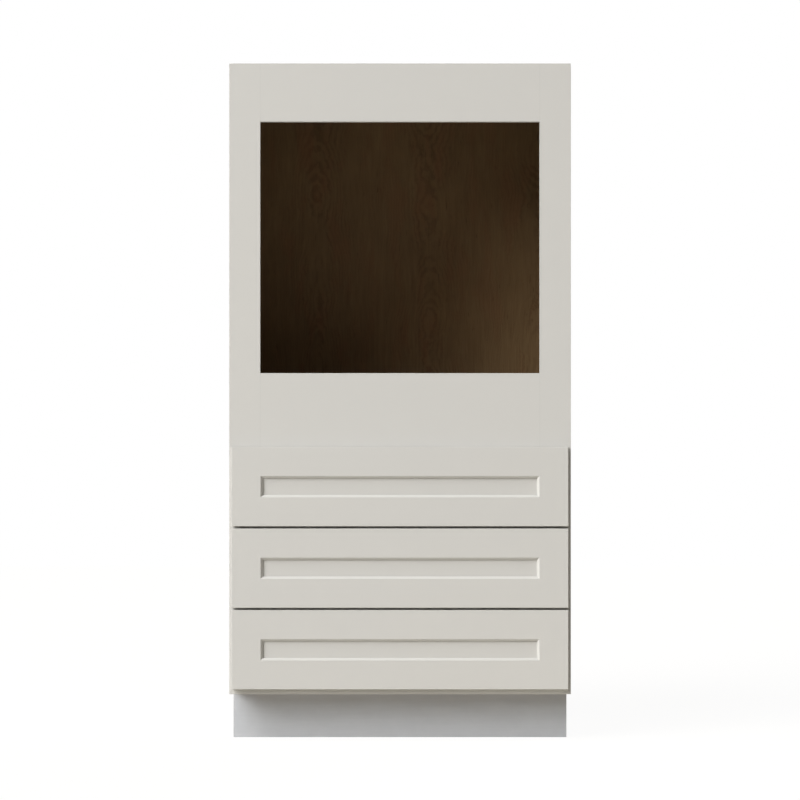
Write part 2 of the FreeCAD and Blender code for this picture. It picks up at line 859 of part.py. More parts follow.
for item in doc.Objects:
    if "Invalid" in item.State or "Error" in item.State:
        raise RuntimeError(f"{item.Label} failed to build: {item.State}")
for item in nodes:
    if item.Shape.isNull() or not item.Shape.isValid():
        raise RuntimeError(f"{item.Label} has no valid shape")

os.makedirs("parts", exist_ok=True)
for item in nodes:
    item.Shape.exportStep(f"parts/{item.Label}.step")
    print(f"{item.Label}: {len(item.Shape.Solids)} solids, {item.Shape.Volume:.0f} cubic mm")
print(f"{len(nodes)} sub-parts, {totalHeight.value:.1f} mm high")
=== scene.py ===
import math

import bmesh
import bpy
from mathutils import Matrix, Vector


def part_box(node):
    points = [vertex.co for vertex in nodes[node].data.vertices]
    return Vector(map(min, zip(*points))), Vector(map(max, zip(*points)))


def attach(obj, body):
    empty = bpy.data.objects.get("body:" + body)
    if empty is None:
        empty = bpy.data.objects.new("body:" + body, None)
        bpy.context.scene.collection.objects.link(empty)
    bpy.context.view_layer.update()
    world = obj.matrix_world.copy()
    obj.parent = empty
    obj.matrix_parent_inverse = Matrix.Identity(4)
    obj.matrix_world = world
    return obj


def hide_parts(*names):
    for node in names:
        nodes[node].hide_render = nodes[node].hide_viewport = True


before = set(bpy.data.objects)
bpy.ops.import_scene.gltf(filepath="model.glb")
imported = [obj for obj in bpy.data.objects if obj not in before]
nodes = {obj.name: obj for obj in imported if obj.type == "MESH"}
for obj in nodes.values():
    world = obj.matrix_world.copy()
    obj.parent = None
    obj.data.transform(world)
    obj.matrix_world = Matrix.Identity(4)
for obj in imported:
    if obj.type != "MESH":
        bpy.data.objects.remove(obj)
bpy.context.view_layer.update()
drawerNames = ("lower", "middle", "upper")


cameraSettings = {
    "place": (0.0, -7.2545, 0.836),  # level with the middle rail, straight in front
    "pitch": 90.0,
    "lens": 127.67,
    "sensor": 36.0,
    "near": 0.05,
    "far": 200.0,
}


def makeCamera(look):
    data = bpy.data.cameras.new("camera")
    data.lens = look["lens"]
    data.sensor_width = look["sensor"]
    data.clip_start = look["near"]
    data.clip_end = look["far"]
    camera = bpy.data.objects.new("camera", data)
    camera.location = look["place"]
    camera.rotation_euler = (math.radians(look["pitch"]), 0.0, 0.0)
    bpy.context.scene.collection.objects.link(camera)
    bpy.context.scene.camera = camera


makeCamera(cameraSettings)
print("camera placed")


class Flow:
    # wraps a node's socket; an expression on these adds the Math nodes that it needs
    def __init__(self, tree, socket=None):
        self.tree = tree
        self.socket = socket

    def node(self, kind, settings, values, output=0):
        made = self.tree.nodes.new(kind)
        for key, value in settings.items():
            setattr(made, key, value)
        for key, value in values.items():
            if isinstance(value, Flow):
                self.tree.links.new(value.socket, made.inputs[key])
            else:
                made.inputs[key].default_value = value
        return Flow(self.tree, made.outputs[output] if made.outputs else None)

    def maths(self, operation, *values):
        return self.node("ShaderNodeMath", {"operation": operation}, dict(enumerate(values)))

    def __add__(self, other):
        return self.maths("ADD", self, other)

    def __radd__(self, other):
        return self.maths("ADD", other, self)

    def __sub__(self, other):
        return self.maths("SUBTRACT", self, other)

    def __rsub__(self, other):
        return self.maths("SUBTRACT", other, self)

    def __mul__(self, other):
        return self.maths("MULTIPLY", self, other)

    def __rmul__(self, other):
        return self.maths("MULTIPLY", other, self)

    def __truediv__(self, other):
        return self.maths("DIVIDE", self, other)

    def __rtruediv__(self, other):
        return self.maths("DIVIDE", other, self)

    def __pow__(self, other):
        return self.maths("POWER", self, other)

    def __gt__(self, other):
        return self.maths("GREATER_THAN", self, other)

    def __abs__(self):
        return self.maths("ABSOLUTE", self)


def newMaterial(name):
    material = bpy.data.materials.new(name)
    material.use_nodes = True
    material.node_tree.nodes.clear()
    return material, Flow(material.node_tree)


def split(flow, vector):
    return [flow.node("ShaderNodeSeparateXYZ", {}, {0: vector}, part) for part in range(3)]


def join(flow, x, y, z):
    return flow.node("ShaderNodeCombineXYZ", {}, {0: x, 1: y, 2: z})


def objectPlace(flow):
    return split(flow, flow.node("ShaderNodeTexCoord", {}, {}, "Object"))


def faceTurn(flow):
    # how far the surface faces along each axis, 0 to 1
    return [abs(part) for part in split(flow, flow.node("ShaderNodeTexCoord", {}, {}, "Normal"))]


def noise(flow, vector, scale=1.0, detail=2.0, rough=0.5):
    values = {"Vector": vector, "Scale": scale, "Detail": detail, "Roughness": rough}
    return flow.node("ShaderNodeTexNoise", {"noise_dimensions": "3D"}, values)


def drawnOut(flow, place, along, acrossSize, alongSize):
    # fine noise squeezed across one axis and drawn out along it
    sizes = [alongSize if axis == along else acrossSize for axis in "xyz"]
    vector = join(flow, *[part * size for part, size in zip(place, sizes)])
    return noise(flow, vector, detail=2.0, rough=0.6)


def smooth(flow, value, low, high):
    settings = {"interpolation_type": "SMOOTHSTEP"}
    return flow.node("ShaderNodeMapRange", settings, {0: value, 1: low, 2: high, 3: 0.0, 4: 1.0})


def clamp(flow, value):
    return flow.node("ShaderNodeClamp", {}, {0: value})


def asColour(value):
    return value if isinstance(value, Flow) else (*value, 1.0)


def mixColour(flow, factor, first, second):
    settings = {"data_type": "RGBA"}
    values = {0: factor, 6: asColour(first), 7: asColour(second)}
    return flow.node("ShaderNodeMix", settings, values, 2)


mottleBand = (0.3, 0.7)  # the levels of a noise between which one colour turns into the other


def mottled(flow, value, first, second):
    return mixColour(flow, smooth(flow, value, *mottleBand), first, second)


bumpDepth = 0.001  # how far a height of 1 stands out, in metres


def surface(flow, values, height):
    bump = flow.node("ShaderNodeBump", {}, {"Strength": 1.0, "Distance": bumpDepth, "Height": height})
    shader = flow.node("ShaderNodeBsdfPrincipled", {}, {**values, "Normal": bump})
    flow.node("ShaderNodeOutputMaterial", {}, {"Surface": shader})


paintLook = {
    "colour": (0.612, 0.603, 0.578),
    "warmer": (0.616, 0.605, 0.577),
    "roughness": 0.50,
    "patchRoughness": 0.08,
    "peelRoughness": 0.04,
    "specular": 0.1,
    "patchSize": 1.6,
    "grainAcross": 420.0,  # fibres that show faintly through the paint
    "grainAlong": 9.0,
    "grainHeight": 0.006,
    "peelSize": 700.0,
    "peelHeight": 0.004,
    "panelTone": 0.982,  # the recessed panels a little darker than the frame
    "seamWidth": 0.0009,  # hairline in the paint where rails meet stiles
    "seamCore": 0.3,  # the share of its width that has the seam's full tone
    "seamTone": 0.955,
}


def toned(colour, tone):
    return tuple(part * tone for part in colour)


def paint(name, along, tone=1.0, seam=None):
    # seam: how far from the cabinet's middle the rails meet the stiles
    look = dict(paintLook, colour=toned(paintLook["colour"], tone), warmer=toned(paintLook["warmer"], tone))
    material, flow = newMaterial(name)
    place = objectPlace(flow)
    whole = join(flow, *place)
    patch = noise(flow, whole, look["patchSize"], detail=3.0)
    fibre = drawnOut(flow, place, along, look["grainAcross"], look["grainAlong"])
    peel = noise(flow, whole, look["peelSize"], detail=1.0)
    colour = mottled(flow, patch, look["colour"], look["warmer"])
    if seam:
        core = look["seamWidth"] * look["seamCore"]
        clear = smooth(flow, abs(abs(place[0]) - seam), core, look["seamWidth"])
        colour = mixColour(flow, clear, toned(look["colour"], look["seamTone"]), colour)
    values = {
        "Base Color": colour,
        "Roughness": (patch - 0.5) * look["patchRoughness"] + look["roughness"],
        "Specular IOR Level": look["specular"],
    }
    surface(flow, values, fibre * look["grainHeight"] + peel * look["peelHeight"])
    return material


# sizes of noise are counts a metre; a share is a part of 1
figureSettings = {
    "heartDepth": 0.014,  # from a board's face to the middle of the log
    "taper": 0.085,  # the log's taper, which draws the rings out into arches along the board
    "taperTurn": 0.62,  # how far it runs before it turns back
    "taperStart": 0.34,
    "wanderSize": 6.0,
    "wanderAcross": 0.8,
    "wander": 0.050,
    "wanderShade": 0.7,
    "leanAlong": 0.6,  # how much slower sway and ripple change along the grain
    "swaySize": 13.0,
    "sway": 0.024,
    "rippleSize": 78.0,
    "ripple": 0.0120,
    "unevenSize": 70.0,
    "uneven": 4.5,  # how far a ring's spacing strays, in radians
    "ringSharpness": 1.8,
    "ringCloud": (0.36, 0.60),  # the cloud's level from which rings show
    "archWidth": 0.052,  # how far from the heart the arches stay plain to see
    "archShare": 0.85,
    "cloudSize": 15.0,
    "cloudAlong": 0.3,
    "warmCloud": (0.46, 0.66),  # the cloud's level from which the wood blushes
    "warmShare": 0.65,
    "warmFall": 0.5,
    "blush": 0.65,
    "fibreAcross": 420.0,
    "fibreAlong": 14.0,
    "streakAcross": 95.0,
    "streakAlong": 6.0,
    "fleckAcross": 210.0,
    "fleckAlong": 24.0,
    "fleckEdge": (0.70, 0.80),
    "baseShade": 0.28,
}

clearMaple = {
    "light": (0.715, 0.530, 0.345),
    "dark": (0.590, 0.400, 0.235),
    "blush": (0.680, 0.470, 0.300),
    "end": (0.450, 0.295, 0.165),
    "roughness": 0.46,
    "coat": 0.12,
    "specular": 0.35,
    "ringPitch": 0.0090,
    "rings": 0.42,
    "fibres": 0.26,
    "streaks": 0.30,
    "flecks": 0.35,
    "height": 0.010,
}

rawMaple = dict(
    clearMaple,
    light=(0.650, 0.505, 0.350),
    dark=(0.540, 0.390, 0.250),
    blush=(0.610, 0.445, 0.305),
    roughness=0.72,
    coat=0.0,
    specular=0.25,
    height=0.018,
)

darkVeneer = {
    "light": (0.238, 0.155, 0.073),
    "dark": (0.145, 0.089, 0.039),
    "blush": (0.226, 0.119, 0.055),
    "end": (0.105, 0.061, 0.027),
    "roughness": 0.60,
    "coat": 0.0,
    "specular": 0.25,
    "ringPitch": 0.0066,
    "rings": 0.90,
    "fibres": 0.55,
    "streaks": 0.30,
    "flecks": 0.75,
    "height": 0.009,
}


def scaled(flow, grain, acrossScale, alongScale):
    across, along, through = grain
    return join(flow, across * acrossScale, along * alongScale, through * acrossScale)


def woodFigure(flow, across, along, through, look):
    # returns shade, 0 light to 1 dark, a warm cloud, and the fibres
    own = figureSettings
    grain = (across, along, through)
    wander = noise(flow, scaled(flow, grain, own["wanderAcross"], 1.0), own["wanderSize"], detail=1.0) - 0.5
    lean = scaled(flow, grain, 1.0, own["leanAlong"])
    sway = noise(flow, lean, own["swaySize"]) - 0.5
    ripple = noise(flow, lean, own["rippleSize"], detail=3.0, rough=0.65) - 0.5
    side = across + sway * own["sway"]
    rise = flow.maths("PINGPONG", along + own["taperStart"], own["taperTurn"])
    heart = through + rise * own["taper"] + (own["heartDepth"] + wander * own["wander"])
    radius = (side * side + heart * heart) ** 0.5 + ripple * own["ripple"]
    uneven = noise(flow, join(flow, radius * own["unevenSize"], 0.0, 0.0), detail=1.0) * own["uneven"]
    turns = radius * (2.0 * math.pi / look["ringPitch"]) + uneven
    wave = flow.maths("SINE", turns) * 0.5 + 0.5
    cloud = noise(flow, scaled(flow, grain, 1.0, own["cloudAlong"]), own["cloudSize"], detail=3.0, rough=0.6)
    nearHeart = side / own["archWidth"]
    fall = nearHeart * nearHeart
    showing = 1.0 / (fall + 1.0) * own["archShare"] + (1.0 - own["archShare"])
    rings = wave ** own["ringSharpness"] * showing * smooth(flow, cloud, *own["ringCloud"])
    swayed = (side, along, through)
    fibre, streak, fleck = [
        noise(flow, scaled(flow, swayed, own[kind + "Across"], own[kind + "Along"]), 1.0, detail, rough)
        for kind, detail, rough in (("fibre", 3.0, 0.6), ("streak", 3.0, 0.6), ("fleck", 1.0, 0.5))
    ]
    shade = rings * look["rings"] + wander * own["wanderShade"] + own["baseShade"]
    shade = shade + (fibre - 0.5) * (look["fibres"] * 2.0) + (streak - 0.5) * (look["streaks"] * 2.0)
    shade = shade + smooth(flow, fleck, *own["fleckEdge"]) * look["flecks"]
    warmBand = own["warmShare"] / (fall * own["warmFall"] + 1.0) + (1.0 - own["warmShare"])
    return clamp(flow, shade), smooth(flow, cloud, *own["warmCloud"]) * warmBand, fibre


def woodFace(flow, look, shade, warmth):
    plain = mixColour(flow, shade, look["light"], look["dark"])
    return mixColour(flow, warmth * figureSettings["blush"], plain, look["blush"])


def splitAxes(place, along, through):
    # object place as across, along and through the board
    rest = [axis for axis in "xyz" if axis not in (along, through)][0]
    return [place["xyz".index(axis)] for axis in (rest, along, through)]


boardSettings = {
    "shift": 3.7,  # between the figures of a left and a right board
    "sideShift": 0.031,
    "depthShare": 0.5,
    "endBand": (0.6, 0.9),  # how squarely a face looks along the grain before it is end grain
    "endShare": 0.8,
    "fibreRoughness": 0.16,
    "coatRoughness": 0.34,
    "ringHeight": 0.3,
}


def solidWood(name, look, along, through, boardAxis=None):
    # boards sawn from the solid, whose figure runs through to their end grain
    own = boardSettings
    material, flow = newMaterial(name)
    place = objectPlace(flow)
    endOn = smooth(flow, faceTurn(flow)["xyz".index(along)], *own["endBand"])
    wide, runs, deep = splitAxes(place, along, through)
    if boardAxis:
        side = place["xyz".index(boardAxis)] > 0.0
        runs = runs + side * own["shift"]
        wide = wide + side * own["sideShift"]
    shade, warmth, fibre = woodFigure(flow, wide, runs, abs(deep) * own["depthShare"], look)
    face = woodFace(flow, look, shade, warmth)
    values = {
        "Base Color": mixColour(flow, endOn * own["endShare"], face, look["end"]),
        "Roughness": (fibre - 0.5) * own["fibreRoughness"] + look["roughness"],
        "Coat Weight": look["coat"],
        "Coat Roughness": own["coatRoughness"],
        "Specular IOR Level": look["specular"],
    }
    surface(flow, values, (fibre + shade * own["ringHeight"]) * look["height"])
    return material


veneerSettings = {
    "leafWidth": 0.293,
    "leafCentre": -0.215,
    "leafShift": 1.37,  # along the grain, from one leaf of veneer to the next
    "leafDepth": 0.006,
    "fibreRoughness": 0.14,
    "specular": 0.25,
    "ply": 0.0018,
    "plyLight": (0.610, 0.450, 0.290),
    "plyDark": (0.300, 0.190, 0.105),
    "plyTurn": (0.46, 0.54),
    "plyShare": 0.7,
    "speckSize": 240.0,
    "speckShare": 0.8,
    "edgeTurn": (0.5, 0.7),  # how far a face turns from the sheet's own before plies show
    "edgeRoughness": 0.8,
}


def veneerFigure(flow, place, along, through, look):
    own = veneerSettings
    wide, runs, deep = splitAxes(place, along, through)
    turned = (wide - own["leafCentre"]) / own["leafWidth"] + 0.5
    leaf = flow.maths("FLOOR", turned)
    across = (turned - leaf - 0.5) * own["leafWidth"]
    return woodFigure(flow, across, runs + leaf * own["leafShift"], leaf * own["leafDepth"], look)


def sheetFace(flow, place, along, through, finish):
    # colour, roughness and height of one face of a sheet
    if finish == "paint":
        peel = noise(flow, join(flow, *place), paintLook["peelSize"], detail=1.0)
        patch = noise(flow, join(flow, *place), paintLook["patchSize"], detail=3.0)
        colour = mottled(flow, patch, paintLook["colour"], paintLook["warmer"])
        rough = peel * paintLook["peelRoughness"] + paintLook["roughness"]
        return colour, rough, peel * paintLook["peelHeight"]
    shade, warmth, fibre = veneerFigure(flow, place, along, through, finish)
    rough = (fibre - 0.5) * veneerSettings["fibreRoughness"] + finish["roughness"]
    return woodFace(flow, finish, shade, warmth), rough, fibre * finish["height"]


def sheetPly(name, sheet, extent):
    # a faced sheet whose plies show at its edges
    own = veneerSettings
    through = "xyz".index(sheet["through"])
    start, end = extent[0][through], extent[1][through]
    material, flow = newMaterial(name)
    place = objectPlace(flow)
    deep = place[through]
    faces = [sheetFace(flow, place, sheet["along"], sheet["through"], sheet[side])
             for side in ("low", "high")]
    upper = deep > (start + end) / 2.0
    face = mixColour(flow, upper, faces[0][0], faces[1][0])
    rough, height = [faces[0][part] * (1.0 - upper) + faces[1][part] * upper for part in (1, 2)]
    fold = flow.maths("FRACT", (deep - start) / (own["ply"] * 2.0))
    speck = noise(flow, join(flow, *place), own["speckSize"], detail=3.0, rough=0.7)
    ply = smooth(flow, fold, *own["plyTurn"]) * own["plyShare"] + (speck - 0.5) * own["speckShare"]
    edge = mixColour(flow, ply, own["plyLight"], own["plyDark"])
    onEdge = smooth(flow, 1.0 - faceTurn(flow)[through], *own["edgeTurn"])
    values = {
        "Base Color": mixColour(flow, onEdge, face, edge),
        "Roughness": rough * (1.0 - onEdge) + onEdge * own["edgeRoughness"],
        "Specular IOR Level": own["specular"],
    }
    surface(flow, values, height)
    return material


steelLook = {
    "light": (0.640, 0.650, 0.655),
    "dark": (0.470, 0.480, 0.490),
    "roughness": 0.34,
    "bloomSize": 60.0,
    "bloomRoughness": 0.24,
    "rollAcross": 900.0,
    "rollAlong": 5.0,
    "rollRoughness": 0.10,
    "rollHeight": 0.004,
}

screwLook = dict(steelLook, light=(0.680, 0.640, 0.520), dark=(0.520, 0.480, 0.370), roughness=0.30)


def plated(name, look, along):
    material, flow = newMaterial(name)
    place = objectPlace(flow)
    rolled = drawnOut(flow, place, along, look["rollAcross"], look["rollAlong"])
    bloom = noise(flow, join(flow, *place), look["bloomSize"], detail=3.0, rough=0.6)
    rough = (bloom - 0.5) * look["bloomRoughness"] + (rolled - 0.5) * look["rollRoughness"]
    values = {
        "Base Color": mottled(flow, bloom, look["light"], look["dark"]),
        "Roughness": rough + look["roughness"],
        "Metallic": 1.0,
    }
    surface(flow, values, rolled * look["rollHeight"])
    return material


mouldSettings = {
    "textureSize": 1800.0,
    "textureRoughness": 0.2,
    "textureHeight": 0.010,
    "cloudSize": 45.0,
}

plastics = {
    "bracket_grey": {"light": (0.300, 0.305, 0.310), "dark": (0.270, 0.275, 0.280), "roughness": 0.46},
    "lock_grey": {"light": (0.115, 0.118, 0.122), "dark": (0.095, 0.098, 0.102), "roughness": 0.42},
    "lever_orange": {"light": (0.780, 0.215, 0.030), "dark": (0.700, 0.180, 0.025), "roughness": 0.38},
}


def moulded(name):
    own, look = mouldSettings, plastics[name]
    material, flow = newMaterial(name)
    whole = join(flow, *objectPlace(flow))
    texture = noise(flow, whole, own["textureSize"])
    cloud = noise(flow, whole, own["cloudSize"])
    values = {
        "Base Color": mottled(flow, cloud, look["light"], look["dark"]),
        "Roughness": (texture - 0.5) * own["textureRoughness"] + look["roughness"],
    }
    surface(flow, values, texture * own["textureHeight"])
    return material


clearLook = {
    "dark": (0.80, 0.81, 0.80),
    "light": (0.90, 0.91, 0.90),
    "rippleSize": 500.0,
    "rippleHeight": 0.006,
    "rippleRoughness": 0.1,
    "roughness": 0.12,
    "clearness": 0.85,
    "refraction": 1.46,
}


def clearPlastic(name, look):
    material, flow = newMaterial(name)
    ripple = noise(flow, join(flow, *objectPlace(flow)), look["rippleSize"])
    values = {
        "Base Color": mixColour(flow, ripple, look["dark"], look["light"]),
        "Roughness": ripple * look["rippleRoughness"] + look["roughness"],
        "Transmission Weight": look["clearness"],
        "IOR": look["refraction"],
    }
    surface(flow, values, ripple * look["rippleHeight"])
    return material


toeLook = {
    "light": (0.552, 0.568, 0.596),
    "dark": (0.521, 0.537, 0.565),
    "roughness": 0.55,
    "shadeRoughness": 0.2,
    "specular": 0.3,
    "streakAlong": 10.0,
    "streakUp": 160.0,
    "streakShare": 0.5,
    "mottleSize": 26.0,
    "mottleShare": 0.5,
    "height": 0.008,
}


def toeFinish(name, look):
    material, flow = newMaterial(name)
    x, y, z = objectPlace(flow)
    streak = noise(flow, join(flow, x * look["streakAlong"], y, z * look["streakUp"]), detail=3.0, rough=0.6)
    mottle = noise(flow, join(flow, x, y, z), look["mottleSize"], detail=4.0, rough=0.6)
    shade = streak * look["streakShare"] + mottle * look["mottleShare"]
    values = {
        "Base Color": mottled(flow, shade, look["light"], look["dark"]),
        "Roughness": (shade - 0.5) * look["shadeRoughness"] + look["roughness"],
        "Specular IOR Level": look["specular"],
    }
    surface(flow, values, shade * look["height"])
    return material


def dress(material, *names):
    for name in names:
        for slot in nodes[name].material_slots:
            slot.material = material


paintUp = paint("greige_paint_upright", "z")
paintAcross = paint("greige_paint_across", "x")
paintPanel = paint("greige_paint_panel", "x", paintLook["panelTone"])
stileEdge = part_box("right_stile")[0].x
dress(paint("frame_paint_upright", "z", seam=stileEdge), "left_stile", "right_stile")
dress(paint("frame_paint_across", "x", seam=stileEdge), "top_rail", "middle_rail", "upper_drawer_rail",
      "lower_drawer_rail", "bottom_rail")
dress(toeFinish("toe_kick_grey", toeLook), "toe_kick_skin")

# low and high: the finishes of a sheet's two faces along its through axis
sheets = {
    "left_side_panel": {"along": "z", "through": "x", "low": "paint", "high": darkVeneer},
    "right_side_panel": {"along": "z", "through": "x", "low": darkVeneer, "high": "paint"},
    "top_panel": {"along": "x", "through": "z", "low": darkVeneer, "high": rawMaple},
    "oven_shelf": {"along": "x", "through": "z", "low": darkVeneer, "high": darkVeneer},
    "bottom_panel": {"along": "x", "through": "z", "low": rawMaple, "high": darkVeneer},
    "back_panel": {"along": "z", "through": "y", "low": darkVeneer, "high": rawMaple},
}
for drawer in drawerNames:
    sheets[drawer + "_box_bottom"] = {"along": "y", "through": "z", "low": rawMaple, "high": clearMaple}
for name, sheet in sheets.items():
    dress(sheetPly(name + "_sheet", sheet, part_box(name)), name)
dress(solidWood("stained_cleats", darkVeneer, "y", "x", "x"), "shelf_cleats")
dress(solidWood("raw_rails", rawMaple, "x", "y"), "hanging_rails", "toe_kick_board")

boxSideWood = solidWood("maple_box_sides", clearMaple, "y", "x", "x")
boxEndWood = solidWood("maple_box_ends", clearMaple, "x", "y", "y")
runnerSteel = plated("zinc_runner", steelLook, "y")
screwSteel = plated("zinc_screw", screwLook, "z")
lockPlastic = moulded("lock_grey")
leverPlastic = moulded("lever_orange")
bumperPlastic = clearPlastic("clear_bumper", clearLook)
for drawer in drawerNames:
    dress(paintUp, drawer + "_front_stiles")
    dress(paintAcross, drawer + "_front_rails")
    dress(paintPanel, drawer + "_front_panel")
    dress(boxSideWood, drawer + "_box_sides")
    dress(boxEndWood, drawer + "_box_front", drawer + "_box_back")
    dress(runnerSteel, drawer + "_drawer_runners", drawer + "_intermediate_runners")
    dress(lockPlastic, drawer + "_drawer_locks")
    dress(leverPlastic, drawer + "_left_release_lever", drawer + "_right_release_lever")
dress(runnerSteel, "cabinet_runners")
dress(moulded("bracket_grey"), "rear_brackets")
print("finishes made:", len(bpy.data.materials))


def growRing(shape, edges, radius, height):
    # carries an open rim on to a round ring of this radius at this height
    grown = bmesh.ops.extrude_edge_only(shape, edges=edges)["geom"]
    for vert in [part for part in grown if isinstance(part, bmesh.types.BMVert)]:
        flat = Vector((vert.co.x, vert.co.y, 0.0)).normalized() * radius
        vert.co = (flat.x, flat.y, height)
    return [part for part in grown if isinstance(part, bmesh.types.BMEdge)]


sortLine = Vector((1.0, 3.7, 17.3))  # slanted, so that no two faces of a shape come level along it


def addCopies(whole, single, places):
    # sets a shape down at each place, which is a point and the way that the shape's top looks
    mesh = bpy.data.meshes.new("single")
    bmesh.ops.recalc_face_normals(single, faces=single.faces)
    # extruding leaves the faces in a new order each run, so they are put in order along a line
    single.faces.sort(key=lambda face: face.calc_center_median().dot(sortLine))
    single.to_mesh(mesh)
    single.free()
    for point, top in places:
        before = len(whole.verts)
        whole.from_mesh(mesh)
        turn = Vector(top).to_track_quat("Z", "X").to_matrix().to_4x4()
        bmesh.ops.transform(whole, matrix=Matrix.Translation(point) @ turn, verts=list(whole.verts)[before:])
    bpy.data.meshes.remove(mesh)


def makePiece(name, shape, material, body, slot, *replaced):
    mesh = bpy.data.meshes.new(name)
    shape.to_mesh(mesh)
    shape.free()
    mesh.materials.append(material)
    piece = bpy.data.objects.new(name, mesh)
    bpy.context.scene.collection.objects.link(piece)
    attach(piece, body)
    if replaced:
        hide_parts(*replaced)


screwSettings = {
    "headRadius": 0.0036,
    "headHeight": 0.0018,
    "headProfile": ((0.88, 0.86), (0.97, 0.58), (1.0, 0.25), (0.97, 0.0)),  # shares of radius and height
    "flatRadius": 0.0026,
    "armWidth": 0.0009,
    "armReach": 0.0019,
    "recessDraft": 0.00012,
    "recessDepth": 0.0012,
    "shankRadius": 0.00175,
    "tipRadius": 0.0003,
    "tipLength": 0.004,
}


def screwShape(look, length):
    # pan head with a cross recess: its seat is at height 0 and its shank points down
    shape = bmesh.new()
    bmesh.ops.create_grid(shape, x_segments=5, y_segments=5, size=1.0)
    half, reach = look["armWidth"] / 2.0, look["armReach"]
    lines = (half, reach, look["flatRadius"])  # where the grid's lines at 0.2, 0.6 and 1 go
    for vert in shape.verts:
        x, y = [math.copysign(lines[int(abs(part) * 2.5)], part) for part in vert.co.xy]
        vert.co = (x, y, look["headHeight"])
    centres = {face: face.calc_center_median() for face in shape.faces}
    cross = [face for face, centre in centres.items()
             if min(abs(centre.x), abs(centre.y)) < half and max(abs(centre.x), abs(centre.y)) < reach]
    bmesh.ops.inset_region(shape, faces=cross, thickness=look["recessDraft"], use_even_offset=True)
    sunk = {vert for face in cross for vert in face.verts}
    bmesh.ops.translate(shape, vec=(0.0, 0.0, -look["recessDepth"]), verts=list(sunk))
    rim = [edge for edge in shape.edges if edge.is_boundary]
    for vert in {vert for edge in rim for vert in edge.verts}:
        flat = Vector((vert.co.x, vert.co.y, 0.0)).normalized() * look["flatRadius"]
        vert.co = (flat.x, flat.y, look["headHeight"])
    for share, level in look["headProfile"]:
        rim = growRing(shape, rim, look["headRadius"] * share, look["headHeight"] * level)
    rim = growRing(shape, rim, look["shankRadius"], 0.0)
    rim = growRing(shape, rim, look["shankRadius"], look["tipLength"] - length)
    rim = growRing(shape, rim, look["tipRadius"], -length)
    bmesh.ops.holes_fill(shape, edges=rim, sides=len(rim))
    return shape


def bothSides(points, top):
    # the same fastener on the left and on the right
    x, y, z = top
    left = [(point, top) for point in points]
    return left + [((-point[0], point[1], point[2]), (-x, y, z)) for point in points]


# across: from the middle to the screw's seat; rises: above the rail under the runner
screwPlaces = {
    "runner": {
        "across": 0.3417,
        "depth": -0.28495,
        "rises": (0.012, 0.025),
        "top": (1, 0, 0),
        "length": 0.016,
    },
    "bracket": {
        "across": 0.2909,
        "depth": 0.287725,
        "rises": (0.008, 0.042),
        "top": (0, -1, 0),
        "length": 0.007,
    },
    "cleat": {
        "across": 0.3810,
        "drop": 0.01905,  # below the cleat's upper edge
        "shares": (0.12, 0.5, 0.88),  # of the cleat's length
        "top": (1, 0, 0),
        "length": 0.025,
    },
    "front": {
        "top": (0, 1, 0),
        "length": 0.028,
    },
}


def addScrews(whole, own, points):
    addCopies(whole, screwShape(screwSettings, own["length"]), bothSides(points, own["top"]))


def cabinetScrews(places):
    whole = bmesh.new()
    floors = [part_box(rail)[1].z for rail in ("bottom_rail", "lower_drawer_rail", "upper_drawer_rail")]
    for kind in ("runner", "bracket"):
        own = places[kind]
        addScrews(whole, own, [(-own["across"], own["depth"], floor + rise)
                               for floor in floors for rise in own["rises"]])
    own = places["cleat"]
    low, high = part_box("shelf_cleats")
    depths = [low.y + (high.y - low.y) * share for share in own["shares"]]
    addScrews(whole, own, [(-own["across"], depth, high.z - own["drop"]) for depth in depths])
    makePiece("cabinet_screw_set", whole, screwSteel, "root", "screw_steel", "cabinet_screws")


def frontScrews(drawer, own):
    low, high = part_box(drawer + "_front_screws")
    inset = screwSettings["headRadius"]
    seat = high.y - screwSettings["headHeight"]
    whole = bmesh.new()
    addScrews(whole, own, [(low.x + inset, seat, level) for level in (low.z + inset, high.z - inset)])
    makePiece(drawer + "_front_screw_set", whole, screwSteel, drawer + "_drawer", "screw_steel",
              drawer + "_front_screws")


cabinetScrews(screwPlaces)
for drawer in drawerNames:
    frontScrews(drawer, screwPlaces["front"])
print("screws made")


bumperSettings = {
    "radius": 0.0040,
    "thickness": 0.0015,
    "profile": ((0.98, 0.30), (0.90, 0.62), (0.72, 0.86), (0.45, 0.97), (0.15, 1.0)),  # shares of both
    "sides": 24,
}


def makeBumpers(look):
    # soft domes that the drawer fronts close on
    dome = bmesh.new()
    bmesh.ops.create_circle(dome, segments=look["sides"], radius=look["radius"])
    rim = list(dome.edges)
    for share, level in look["profile"]:
        rim = growRing(dome, rim, look["radius"] * share, look["thickness"] * level)
    rims = [edge for edge in dome.edges if edge.is_boundary]
    bmesh.ops.holes_fill(dome, edges=rims, sides=look["sides"])
    low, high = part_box("frame_bumpers")
    margin = low.z + look["radius"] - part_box("lower_front_stiles")[0].z
    points = []
    for drawer in drawerNames:
        frontLow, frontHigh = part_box(drawer + "_front_stiles")
        for level in (frontLow.z + margin, frontHigh.z - margin):
            points.append((low.x + look["radius"], high.y, level))
    whole = bmesh.new()
    addCopies(whole, dome, bothSides(points, (0, -1, 0)))
    makePiece("frame_bumper_set", whole, bumperPlastic, "root", "clear_bumper", "frame_bumpers")


makeBumpers(bumperSettings)
print("bumpers made")


stapleSettings = {
    "crown": 0.0115,
    "wire": 0.0011,
    "wireBevel": 0.3,  # as a share of the wire
    "proud": 0.0003,
    "perRow": 9,
    "railHeight": 0.0762,
    "rowInset": 0.014,
    "endInset": 0.030,
}


